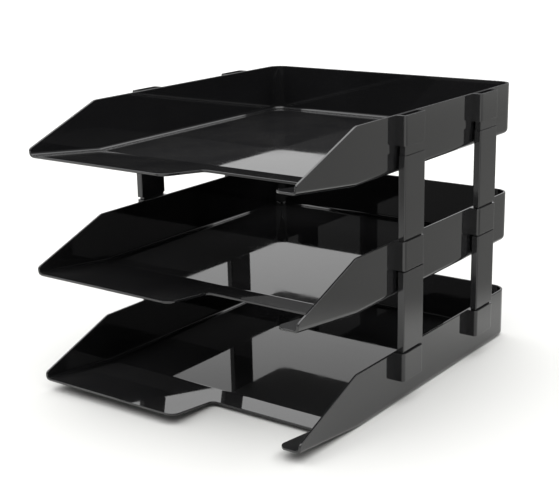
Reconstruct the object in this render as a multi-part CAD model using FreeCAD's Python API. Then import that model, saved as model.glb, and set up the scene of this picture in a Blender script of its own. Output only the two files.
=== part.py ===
import FreeCAD, Part
import math
import os

from FreeCAD import Vector

os.makedirs("parts", exist_ok=True)

# Three identical letter trays stand one above the other on eight riser posts.
# Origin: on the table, midway across and midway front to back. Front is -Y, up is +Z.
# All lengths are in millimetres.

# Tray shell
TRAY_WIDTH = 255.0
TRAY_DEPTH = 330.0
TRAY_HEIGHT = 44.0
SHEET = 2.0
RIM_RADIUS = 0.5
EDGE_BREAK = 0.4
REAR_CORNER_RADIUS = 13.0
EDGE_RADIUS_OUTSIDE = 4.5
EDGE_RADIUS_INSIDE = 3.0

# Side wall outline, distances measured back from the front edge
KINK_FROM_FRONT = 74.0
KINK_RADIUS = 10.0
NOSE_TOP_HEIGHT = 15.7
NOSE_RADIUS = 3.0
NOSE_UNDERCUT = 0.3

# Front ramp, distances measured back from the front edge
RAMP_RISE = 8.3
RAMP_FOLD_FROM_FRONT = 75.0
RAMP_FOLD_RADIUS = 15.0

# Finger notch through the ramp
NOTCH_LEFT = 9.5
NOTCH_RIGHT = 106.0
NOTCH_DEPTH = 48.0
NOTCH_INSIDE_RADIUS = 4.0
LEFT_WING_RADIUS = 8.0
RIGHT_WING_RADIUS = 10.0

# Sockets on the outside of the side walls
SOCKET_FROM_FRONT = (144.0, 267.0)
SOCKET_WIDTH = 30.4
SOCKET_BOTTOM = 21.0
SOCKET_OUT = 8.4
SOCKET_RADIUS = 2.5
POCKET_IN = 1.6
POCKET_THICK = 4.6
POCKET_WIDTH = 25.4

# Riser posts
RISER_WIDTH = 30.0
RISER_THICK = 6.3
RISER_BODY = 64.0
RISER_RADIUS = 1.0
TONGUE_CLEARANCE = 0.1
TONGUE_IN_POCKET = 10.6
TONGUE_RADIUS = 0.6
SEAT_CLEARANCE = 0.1
HEAD_NECK_THICK = 5.4
HEAD_NECK_WIDTH = 27.0
FOOT_NECK_THICK = 4.9
FOOT_NECK_WIDTH = 26.4

# Heights of the necks left showing between posts and sockets
FOOT_NECK = 2.0
LOWER_HEAD_NECK = 1.0
UPPER_HEAD_NECK = 7.3

FRONT = -TRAY_DEPTH / 2
BACK = TRAY_DEPTH / 2
HALF_WIDTH = TRAY_WIDTH / 2
POST_IN = HALF_WIDTH + POCKET_IN + TONGUE_CLEARANCE
LOWER_POST_Z = TRAY_HEIGHT + FOOT_NECK
MIDDLE_TRAY_Z = LOWER_POST_Z + RISER_BODY + LOWER_HEAD_NECK - SOCKET_BOTTOM
UPPER_POST_Z = MIDDLE_TRAY_Z + TRAY_HEIGHT + FOOT_NECK
TOP_TRAY_Z = UPPER_POST_Z + RISER_BODY + UPPER_HEAD_NECK - SOCKET_BOTTOM


def rounded_face(corners, radii):
    """Flat face whose outline turns each corner on an arc tangent to both sides."""
    count = len(corners)
    starts = []
    middles = []
    ends = []
    for i in range(count):
        corner = corners[i]
        before = (corners[i - 1] - corner).normalize()
        after = (corners[(i + 1) % count] - corner).normalize()
        half_angle = before.getAngle(after) / 2
        reach = radii[i] / math.tan(half_angle)
        inward = (before + after).normalize()
        starts.append(corner + before * reach)
        ends.append(corner + after * reach)
        middles.append(corner + inward * (radii[i] / math.sin(half_angle) - radii[i]))
    edges = []
    for i in range(count):
        if radii[i] > 0:
            edges.append(Part.Arc(starts[i], middles[i], ends[i]).toShape())
        edges.append(Part.makeLine(ends[i], starts[(i + 1) % count]))
    return Part.Face(Part.Wire(edges))


def side_face(x, outline):
    """Face in the plane X = x from (y, z, corner radius) entries."""
    return rounded_face([Vector(x, y, z) for y, z, r in outline], [r for y, z, r in outline])


def plan_face(z, outline):
    """Face in the plane Z = z from (x, y, corner radius) entries."""
    return rounded_face([Vector(x, y, z) for x, y, r in outline], [r for x, y, r in outline])


def slab(x_low, x_high, y_low, y_high, z_low, z_high, radius):
    """Upright block with its four vertical edges rounded."""
    outline = [(x_low, y_low, radius), (x_high, y_low, radius), (x_high, y_high, radius), (x_low, y_high, radius)]
    return plan_face(z_low, outline).extrude(Vector(0, 0, z_high - z_low))


def trough(inset, corner_radius, edge_radius):
    """Block over the floor and ramp, open-ended past the front, set in from the tray's skin by inset."""
    ramp_slope = RAMP_RISE / RAMP_FOLD_FROM_FRONT
    front_end = FRONT - 20
    front_z = inset + ramp_slope * (FRONT + RAMP_FOLD_FROM_FRONT - front_end)
    back = BACK - inset
    half_width = HALF_WIDTH - inset
    roof = TRAY_HEIGHT + 20
    profile = side_face(-half_width, [
        (back, inset, 0),
        (back, roof, 0),
        (front_end, roof, 0),
        (front_end, front_z, 0),
        (FRONT + RAMP_FOLD_FROM_FRONT, inset, RAMP_FOLD_RADIUS - inset),
    ])
    block = profile.extrude(Vector(2 * half_width, 0, 0))
    rear_corners = [e for e in block.Edges if e.BoundBox.YMin > back - 0.1 and e.BoundBox.XLength < 0.1]
    block = block.makeFillet(corner_radius, rear_corners)
    low_edges = []
    for edge in block.Edges:
        box = edge.BoundBox
        on_side = box.XLength < 0.1 and abs(abs(box.Center.x) - half_width) < 0.1
        on_floor = box.ZMax < inset + 0.1 and (on_side or box.YMin > back - corner_radius - 0.1)
        on_ramp = on_side and box.ZMax < front_z + 0.1
        if on_floor or on_ramp:
            low_edges.append(edge)
    return block.makeFillet(edge_radius, low_edges)


def edges_between(solid, skin_faces, cut_faces):
    """Edges of the solid that lie on one of the skin faces and on one of the cut faces."""
    found = []
    for edge in solid.Edges:
        middle = Part.Vertex(edge.valueAt((edge.FirstParameter + edge.LastParameter) / 2))
        on_skin = any(middle.distToShape(face)[0] < 0.001 for face in skin_faces)
        on_cut = any(middle.distToShape(face)[0] < 0.001 for face in cut_faces)
        if on_skin and on_cut:
            found.append(edge)
    return found


def tray_shell():
    """Floor, ramp and three walls, cut to the side wall's outline and notched, with a rounded rim."""
    outside = trough(0, REAR_CORNER_RADIUS, EDGE_RADIUS_OUTSIDE)
    inside = trough(SHEET, REAR_CORNER_RADIUS - SHEET, EDGE_RADIUS_INSIDE)
    wall_outline = side_face(-HALF_WIDTH - 5, [
        (BACK + 5, -5, 0),
        (BACK + 5, TRAY_HEIGHT, 0),
        (FRONT + KINK_FROM_FRONT, TRAY_HEIGHT, KINK_RADIUS),
        (FRONT, NOSE_TOP_HEIGHT, NOSE_RADIUS),
        (FRONT, RAMP_RISE, NOSE_RADIUS),
        (FRONT + (RAMP_RISE + 5) / NOSE_UNDERCUT, -5, 0),
    ])
    wall_block = wall_outline.extrude(Vector(TRAY_WIDTH + 10, 0, 0))
    notch = finger_notch()
    shell = outside.common(wall_block).cut(inside).cut(notch)
    rim = edges_between(shell, outside.Faces + inside.Faces, wall_block.Faces + notch.Faces)
    return shell.makeFillet(RIM_RADIUS, rim)


def finger_notch():
    """Opening through the ramp, with rounded inner corners and flared, rounded ends of the wings."""
    back = FRONT + NOTCH_DEPTH
    notch = plan_face(-5, [
        (NOTCH_LEFT, back, NOTCH_INSIDE_RADIUS),
        (NOTCH_LEFT, FRONT - 5, 0),
        (NOTCH_RIGHT, FRONT - 5, 0),
        (NOTCH_RIGHT, back, NOTCH_INSIDE_RADIUS),
    ]).extrude(Vector(0, 0, 25))
    for edge_x, away, radius in ((NOTCH_LEFT, -1, LEFT_WING_RADIUS), (NOTCH_RIGHT, 1, RIGHT_WING_RADIUS)):
        corner = slab(
            min(edge_x, edge_x + away * radius), max(edge_x, edge_x + away * radius),
            FRONT - 5, FRONT + radius, -5, 20, 0,
        )
        post = Part.makeCylinder(radius, 25, Vector(edge_x + away * radius, FRONT + radius, -5))
        notch = notch.fuse(corner.cut(post))
    return notch


def socket(side, centre_y):
    """Open-ended sleeve on the outside of a side wall; side is -1 for left, 1 for right."""
    near = HALF_WIDTH - SHEET / 2
    far = HALF_WIDTH + SOCKET_OUT
    body = slab(near, far, centre_y - SOCKET_WIDTH / 2, centre_y + SOCKET_WIDTH / 2,
                SOCKET_BOTTOM, TRAY_HEIGHT, 0)
    outer_corners = [e for e in body.Edges if e.BoundBox.XMin > far - 0.1 and e.BoundBox.YLength < 0.1]
    body = body.makeFillet(SOCKET_RADIUS, outer_corners)
    end_edges = [e for e in body.Edges if e.BoundBox.ZLength < 0.1 and e.BoundBox.XMax > near + 0.1]
    body = body.makeFillet(EDGE_BREAK, end_edges)
    if side < 0:
        body = body.mirror(Vector(0, 0, 0), Vector(1, 0, 0))
    return body


def pocket(side, centre_y):
    """Upright hole through a socket."""
    near = HALF_WIDTH + POCKET_IN
    hole = slab(near, near + POCKET_THICK, centre_y - POCKET_WIDTH / 2, centre_y + POCKET_WIDTH / 2,
                SOCKET_BOTTOM - 5, TRAY_HEIGHT + 5, TONGUE_RADIUS)
    if side < 0:
        hole = hole.mirror(Vector(0, 0, 0), Vector(1, 0, 0))
    return hole


def make_tray():
    """Complete tray standing on Z = 0."""
    places = [(side, FRONT + from_front) for side in (-1, 1) for from_front in SOCKET_FROM_FRONT]
    tray = tray_shell().fuse([socket(side, y) for side, y in places])
    tray = tray.cut([pocket(side, y) for side, y in places])
    return tray.removeSplitter()


def make_post(head_neck):
    """Right-hand riser post at Y = 0 with the foot of its body on Z = 0."""
    half_width = RISER_WIDTH / 2
    near = POST_IN
    tongue_thick = POCKET_THICK - 2 * TONGUE_CLEARANCE
    tongue_half = POCKET_WIDTH / 2 - TONGUE_CLEARANCE
    body = slab(near, near + RISER_THICK, -half_width, half_width, 0, RISER_BODY, RISER_RADIUS)
    body = body.makeFillet(EDGE_BREAK, [e for e in body.Edges if e.BoundBox.ZLength < 0.1])
    foot_neck = slab(near, near + FOOT_NECK_THICK, -FOOT_NECK_WIDTH / 2, FOOT_NECK_WIDTH / 2,
                     -FOOT_NECK + SEAT_CLEARANCE, 0, TONGUE_RADIUS)
    neck_top = RISER_BODY + head_neck
    head_neck_block = slab(near, near + HEAD_NECK_THICK, -HEAD_NECK_WIDTH / 2, HEAD_NECK_WIDTH / 2,
                           RISER_BODY, neck_top - SEAT_CLEARANCE, TONGUE_RADIUS)
    foot_tongue = slab(near, near + tongue_thick, -tongue_half, tongue_half,
                       -FOOT_NECK - TONGUE_IN_POCKET, 0, TONGUE_RADIUS)
    head_tongue = slab(near, near + tongue_thick, -tongue_half, tongue_half,
                       RISER_BODY, neck_top + TONGUE_IN_POCKET, TONGUE_RADIUS)
    return body.fuse([foot_neck, head_neck_block, foot_tongue, head_tongue]).removeSplitter()


tray = make_tray()
for name, z in (("bottom_tray", 0), ("middle_tray", MIDDLE_TRAY_Z), ("top_tray", TOP_TRAY_Z)):
    tray.translated(Vector(0, 0, z)).exportStep("parts/" + name + ".step")

for level, z, head_neck in (("lower", LOWER_POST_Z, LOWER_HEAD_NECK), ("upper", UPPER_POST_Z, UPPER_HEAD_NECK)):
    post = make_post(head_neck)
    for end, from_front in zip(("front", "rear"), SOCKET_FROM_FRONT):
        right = post.translated(Vector(0, FRONT + from_front, z))
        left = right.mirror(Vector(0, 0, 0), Vector(1, 0, 0))
        right.exportStep("parts/" + level + "_riser_" + end + "_right.step")
        left.exportStep("parts/" + level + "_riser_" + end + "_left.step")
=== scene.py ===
import math

import bpy
from mathutils import Matrix, Vector


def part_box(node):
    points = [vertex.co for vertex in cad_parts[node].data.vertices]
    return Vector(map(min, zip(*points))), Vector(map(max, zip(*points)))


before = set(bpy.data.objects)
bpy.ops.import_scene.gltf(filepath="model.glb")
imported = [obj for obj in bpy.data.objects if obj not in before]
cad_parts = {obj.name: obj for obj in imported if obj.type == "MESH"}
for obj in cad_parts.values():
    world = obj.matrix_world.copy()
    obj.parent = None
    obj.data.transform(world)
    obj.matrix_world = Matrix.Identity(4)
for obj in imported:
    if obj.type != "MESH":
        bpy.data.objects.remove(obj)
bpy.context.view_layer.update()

# Trays. Three paper trays from one mould, each a single injection moulding in black high-impact
# polystyrene with its side walls, front ramp, finger notch and four post sockets. The polished mould
# leaves a mirror-like skin; only warp of the thin sheet, paper rub and a little dust disturb it.


def to_linear(hex_colour):
    """Colour of an sRGB hex string as linear red, green, blue and a full alpha."""
    shares = [int(hex_colour[i:i + 2], 16) / 255 for i in (1, 3, 5)]
    return [s / 12.92 if s <= 0.04045 else ((s + 0.055) / 1.055) ** 2.4 for s in shares] + [1.0]


def add_node(tree, kind, settings, links):
    """Adds one node: settings go to its properties or inputs, links join its inputs to other nodes' outputs."""
    node = tree.nodes.new(kind)
    for name, value in settings.items():
        if isinstance(name, str) and hasattr(node, name):
            setattr(node, name, value)
        else:
            node.inputs[name].default_value = value
    for name, output in links.items():
        tree.links.new(output, node.inputs[name])
    return node


polystyrene_index = 1.59


def polished_polystyrene(name, base_height, dust_share):
    """Black polystyrene straight from a polished mould, for a tray standing at base_height metres.

    To the eye: near-black depth, sharp reflections that bend slightly with the sheet's warp, hairlines
    where paper slides front to back, soft smears of handling, and specks of dust on upward faces.
    """
    material = bpy.data.materials.new(name)
    material.use_nodes = True
    tree = material.node_tree
    shader = tree.nodes["Principled BSDF"]
    shader.inputs["IOR"].default_value = polystyrene_index
    where = add_node(tree, "ShaderNodeTexCoord", {}, {})
    on_tray = add_node(tree, "ShaderNodeMapping", {"Location": (0, 0, -base_height)},
                       {"Vector": where.outputs["Object"]}).outputs["Vector"]

    # Melt flow: a faint cloudiness of the black, clouds about 60 mm across.
    cloud = 0.060
    deep_black, soft_black = to_linear("#161617"), to_linear("#202021")
    flow = add_node(tree, "ShaderNodeTexNoise", {"Scale": 1 / cloud, "Detail": 3.0, "Roughness": 0.55},
                    {"Vector": on_tray})
    black = add_node(tree, "ShaderNodeMix", {"data_type": "RGBA", 6: deep_black, 7: soft_black},
                     {0: flow.outputs["Fac"]})

    # Dust: grains about 0.5 mm apart, kept where patches 45 mm across let it settle, on upward faces only.
    grain_gap, dust_patch, dust_grey = 0.0005, 0.045, to_linear("#8c8a84")
    facing = add_node(tree, "ShaderNodeNewGeometry", {}, {})
    upward = add_node(tree, "ShaderNodeSeparateXYZ", {}, {"Vector": facing.outputs["Normal"]})
    level = add_node(tree, "ShaderNodeMapRange", {"From Min": 0.90, "From Max": 0.99, "To Max": dust_share},
                     {"Value": upward.outputs["Z"]})
    grains = add_node(tree, "ShaderNodeTexNoise", {"Scale": 1 / grain_gap, "Detail": 2.0, "Roughness": 0.7},
                      {"Vector": on_tray})
    grain = add_node(tree, "ShaderNodeMapRange", {"From Min": 0.56, "From Max": 0.74}, {"Value": grains.outputs["Fac"]})
    patches = add_node(tree, "ShaderNodeTexNoise", {"Scale": 1 / dust_patch, "Detail": 4.0, "Roughness": 0.6},
                       {"Vector": on_tray})
    settled = add_node(tree, "ShaderNodeMapRange", {"From Min": 0.35, "From Max": 0.70},
                       {"Value": patches.outputs["Fac"]})
    dust = add_node(tree, "ShaderNodeMath", {"operation": "MULTIPLY"},
                    {0: grain.outputs["Result"], 1: settled.outputs["Result"]})
    dust = add_node(tree, "ShaderNodeMath", {"operation": "MULTIPLY"},
                    {0: dust.outputs["Value"], 1: level.outputs["Result"]})
    colour = add_node(tree, "ShaderNodeMix", {"data_type": "RGBA", 7: dust_grey},
                      {0: dust.outputs["Value"], 6: black.outputs[2]})
    tree.links.new(colour.outputs[2], shader.inputs["Base Color"])

    # Hairlines: rub marks 0.4 mm apart and about 60 mm long, running front to back as the paper slides.
    hairline_gap, hairline_run, hairline_dulling = 0.0004, 0.060, 0.03
    along = add_node(tree, "ShaderNodeMapping", {"Scale": (1 / hairline_gap, 1 / hairline_run, 1 / hairline_gap)},
                     {"Vector": on_tray})
    rubbed = add_node(tree, "ShaderNodeTexNoise", {"Scale": 1.0, "Detail": 2.0, "Roughness": 0.5},
                      {"Vector": along.outputs["Vector"]})
    hairline = add_node(tree, "ShaderNodeMapRange", {"From Min": 0.58, "From Max": 0.72},
                        {"Value": rubbed.outputs["Fac"]})

    # Handling: smears about 30 mm across that dull the gloss a little, as does the dust.
    smear_size, clean_gloss, smeared_gloss, dust_dulling = 0.030, 0.02, 0.06, 0.5
    hands = add_node(tree, "ShaderNodeTexNoise",
                     {"Scale": 1 / smear_size, "Detail": 5.0, "Roughness": 0.6, "Distortion": 0.6}, {"Vector": on_tray})
    smear = add_node(tree, "ShaderNodeMapRange",
                     {"From Min": 0.48, "From Max": 0.72, "To Min": clean_gloss, "To Max": smeared_gloss},
                     {"Value": hands.outputs["Fac"]})
    gloss = add_node(tree, "ShaderNodeMath", {"operation": "MULTIPLY_ADD", 1: hairline_dulling},
                     {0: hairline.outputs["Result"], 2: smear.outputs["Result"]})
    gloss = add_node(tree, "ShaderNodeMath", {"operation": "MULTIPLY_ADD", 1: dust_dulling},
                     {0: dust.outputs["Value"], 2: gloss.outputs["Value"]})

    # Underside: the half of the mould nobody sees is left spark-eroded, so faces that look down are matt.
    underside_matt = 0.75
    underside = add_node(tree, "ShaderNodeMapRange", {"From Min": -0.80, "From Max": -0.98, "To Max": underside_matt},
                         {"Value": upward.outputs["Z"]})
    gloss = add_node(tree, "ShaderNodeMath", {"operation": "MAXIMUM"},
                     {0: gloss.outputs["Value"], 1: underside.outputs["Result"]})
    tree.links.new(gloss.outputs["Value"], shader.inputs["Roughness"])

    # Warp of the thin sheet, about 0.05 mm over 90 mm, and the mould polish's ripple, 1 micron over 2 mm.
    warp_length, warp_height, ripple_length, ripple_height = 0.090, 0.0001, 0.002, 0.000002
    warp = add_node(tree, "ShaderNodeTexNoise", {"Scale": 1 / warp_length, "Detail": 0.0}, {"Vector": on_tray})
    warped = add_node(tree, "ShaderNodeBump", {"Strength": 1.0, "Distance": warp_height},
                      {"Height": warp.outputs["Fac"]})
    ripple = add_node(tree, "ShaderNodeTexNoise", {"Scale": 1 / ripple_length, "Detail": 1.0}, {"Vector": on_tray})
    rippled = add_node(tree, "ShaderNodeBump", {"Strength": 1.0, "Distance": ripple_height},
                       {"Height": ripple.outputs["Fac"], "Normal": warped.outputs["Normal"]})
    tree.links.new(rippled.outputs["Normal"], shader.inputs["Normal"])
    return material


for tray, dust_share in (("bottom_tray", 0.25), ("middle_tray", 0.30), ("top_tray", 0.45)):
    tray_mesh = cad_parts[tray].data
    tray_mesh.materials.clear()
    tray_mesh.materials.append(polished_polystyrene(tray + "_polished_polystyrene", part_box(tray)[0].z, dust_share))

# Riser posts. Eight flat posts in the same black polystyrene, each pushed by its tongue into the sockets
# of the tray below and the tray above. Their mould is less polished, with fine upright draw marks, so to
# the eye they shine softly and blur what they reflect.
riser_plastic = bpy.data.materials.new("satin_gloss_polystyrene")
riser_plastic.use_nodes = True
tree = riser_plastic.node_tree
shader = tree.nodes["Principled BSDF"]
shader.inputs["IOR"].default_value = polystyrene_index
where = add_node(tree, "ShaderNodeTexCoord", {}, {})

# Melt flow: the same cloudiness of the black, 25 mm across on the smaller part.
riser_cloud = 0.025
flow = add_node(tree, "ShaderNodeTexNoise", {"Scale": 1 / riser_cloud, "Detail": 3.0},
                {"Vector": where.outputs["Object"]})
black = add_node(tree, "ShaderNodeMix", {"data_type": "RGBA", 6: to_linear("#181819"), 7: to_linear("#212122")},
                 {0: flow.outputs["Fac"]})
tree.links.new(black.outputs[2], shader.inputs["Base Color"])

# Draw marks: upright streaks where the part was drawn off its core, 0.5 mm apart, 30 mm long and 0.6 micron deep.
mark_gap, mark_run, mark_depth = 0.0005, 0.030, 0.0000006
between_marks_gloss, marked_gloss = 0.09, 0.17
upright = add_node(tree, "ShaderNodeMapping", {"Scale": (1 / mark_gap, 1 / mark_gap, 1 / mark_run)},
                   {"Vector": where.outputs["Object"]})
draw_marks = add_node(tree, "ShaderNodeTexNoise", {"Scale": 1.0, "Detail": 2.0}, {"Vector": upright.outputs["Vector"]})
gloss = add_node(tree, "ShaderNodeMapRange",
                 {"From Min": 0.35, "From Max": 0.75, "To Min": between_marks_gloss, "To Max": marked_gloss},
                 {"Value": draw_marks.outputs["Fac"]})
tree.links.new(gloss.outputs["Result"], shader.inputs["Roughness"])
drawn = add_node(tree, "ShaderNodeBump", {"Strength": 1.0, "Distance": mark_depth},
                 {"Height": draw_marks.outputs["Fac"]})
tree.links.new(drawn.outputs["Normal"], shader.inputs["Normal"])

for node_name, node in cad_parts.items():
    if "riser" in node_name:
        node.data.materials.clear()
        node.data.materials.append(riser_plastic)

# Studio floor. Plain pale matt paper with no shine to the eye, fully lit round the trays, with two soft patches of
# painted shade well clear of them, a darker grey put into the paper's colour, one behind on the right and one in front
# on the left. The tray walls and the posts that reflect them look blacker.
floor_reach = 40.0
floor_mesh = bpy.data.meshes.new("studio_floor")
floor_mesh.from_pydata([(-floor_reach, -floor_reach, 0), (floor_reach, -floor_reach, 0),
                        (floor_reach, floor_reach, 0), (-floor_reach, floor_reach, 0)], [], [(0, 1, 2, 3)])
studio_floor = bpy.data.objects.new("studio_floor", floor_mesh)
bpy.context.scene.collection.objects.link(studio_floor)
floor_paper = bpy.data.materials.new("matt_paper_with_painted_shade")
floor_paper.use_nodes = True
tree = floor_paper.node_tree
shader = tree.nodes["Principled BSDF"]
shader.inputs["Roughness"].default_value = 0.95
shader.inputs["Specular IOR Level"].default_value = 0.1
where = add_node(tree, "ShaderNodeTexCoord", {}, {})

# Each painted shade is bounded by three soft edges. An edge is a level direction into the shade, then the places
# along it where the shade starts and where it is full, in metres from the trays' middle.
right_shade_edges = [((0.922, 0.387, 0.0), 0.222, 0.330),
                     ((0.525, 0.851, 0.0), 0.10, 0.32),
                     ((-1.0, -0.3, 0.0), -2.2, -1.0)]
front_shade_edges = [((0.589, -0.808, 0.0), 0.26, 0.42),
                     ((-0.851, -0.526, 0.0), 0.20, 0.40),
                     ((0.0, 1.0, 0.0), -2.2, -0.9)]
shades = []
for shade_edges in (right_shade_edges, front_shade_edges):
    shade = None
    for into_shade, start, full in shade_edges:
        run = add_node(tree, "ShaderNodeVectorMath", {"operation": "DOT_PRODUCT", 1: into_shade},
                       {0: where.outputs["Object"]})
        edge = add_node(tree, "ShaderNodeMapRange",
                        {"interpolation_type": "SMOOTHSTEP", "From Min": start, "From Max": full},
                        {"Value": run.outputs["Value"]}).outputs["Result"]
        if shade is None:
            shade = edge
        else:
            shade = add_node(tree, "ShaderNodeMath", {"operation": "MULTIPLY"}, {0: shade, 1: edge}).outputs["Value"]
    shades.append(shade)
# Painted shade: the paper's colour turns from pale to a darker grey inside the two shades.
shaded = add_node(tree, "ShaderNodeMath", {"operation": "MAXIMUM"}, {0: shades[0], 1: shades[1]})
paper = add_node(tree, "ShaderNodeMix", {"data_type": "RGBA", 6: to_linear("#dcdcda"), 7: to_linear("#8c8c8a")},
                 {0: shaded.outputs["Value"]})
tree.links.new(paper.outputs[2], shader.inputs["Base Color"])
floor_mesh.materials.append(floor_paper)

# Studio light. A big soft ceiling light, and white walls behind and to the left that fade to grey
# on the right and stand in shade along their foot, all as one sky so no lamp shows in the gloss.
white_wall_side = (-0.925, 0.380, 0.0)
grey_wall, white_wall, ceiling = 0.22, 1.08, 2.6
foot_share, top_share = 0.12, 0.62
bpy.context.scene.view_settings.view_transform = "Standard"
studio = bpy.data.worlds.new("soft_studio")
studio.use_nodes = True
bpy.context.scene.world = studio
tree = studio.node_tree
sky = add_node(tree, "ShaderNodeTexCoord", {}, {})
height = add_node(tree, "ShaderNodeSeparateXYZ", {}, {"Vector": sky.outputs["Generated"]}).outputs["Z"]
towards_white = add_node(tree, "ShaderNodeVectorMath", {"operation": "DOT_PRODUCT", 1: white_wall_side},
                         {0: sky.outputs["Generated"]})
wall = add_node(tree, "ShaderNodeMapRange",
                {"interpolation_type": "SMOOTHSTEP", "From Min": -0.25, "From Max": 0.62,
                 "To Min": grey_wall, "To Max": white_wall}, {"Value": towards_white.outputs["Value"]})
wall_top = add_node(tree, "ShaderNodeMapRange",
                    {"interpolation_type": "SMOOTHSTEP", "From Min": 0.28, "From Max": 0.42,
                     "To Min": 1.0, "To Max": top_share}, {"Value": height})
wall_foot = add_node(tree, "ShaderNodeMapRange",
                     {"interpolation_type": "SMOOTHSTEP", "From Min": 0.160, "From Max": 0.196,
                      "To Min": foot_share}, {"Value": height})
walls = add_node(tree, "ShaderNodeMath", {"operation": "MULTIPLY"},
                 {0: wall.outputs["Result"], 1: wall_top.outputs["Result"]})
walls = add_node(tree, "ShaderNodeMath", {"operation": "MULTIPLY"},
                 {0: walls.outputs["Value"], 1: wall_foot.outputs["Result"]})
overhead = add_node(tree, "ShaderNodeMapRange",
                    {"interpolation_type": "SMOOTHSTEP", "From Min": 0.45, "From Max": 0.75}, {"Value": height})
light = add_node(tree, "ShaderNodeMix", {"data_type": "FLOAT", 3: ceiling},
                 {0: overhead.outputs["Result"], 2: walls.outputs["Value"]})
tree.links.new(light.outputs[0], tree.nodes["Background"].inputs["Strength"])
tree.nodes["Background"].inputs["Color"].default_value = (1.0, 1.0, 1.0, 1.0)

# Camera. A 76 mm lens a metre from the trays, looking down 15.5 degrees from the front right.
azimuth, elevation, roll = math.radians(36.08), math.radians(15.52), math.radians(-1.12)
lens_place = Vector((0.5661, -0.7872, 0.3747))
looking = Vector((-math.sin(azimuth) * math.cos(elevation), math.cos(azimuth) * math.cos(elevation),
                  -math.sin(elevation)))
level_right = Vector((math.cos(azimuth), math.sin(azimuth), 0))
level_up = level_right.cross(looking)
right = level_right * math.cos(roll) + level_up * math.sin(roll)
up = level_up * math.cos(roll) - level_right * math.sin(roll)
camera_data = bpy.data.cameras.new("camera")
camera_data.sensor_width = 36.0
camera_data.lens = 76.4
camera = bpy.data.objects.new("camera", camera_data)
bpy.context.scene.collection.objects.link(camera)
placed = Matrix((right, up, -looking)).transposed().to_4x4()
placed.translation = lens_place
camera.matrix_world = placed
bpy.context.scene.camera = camera
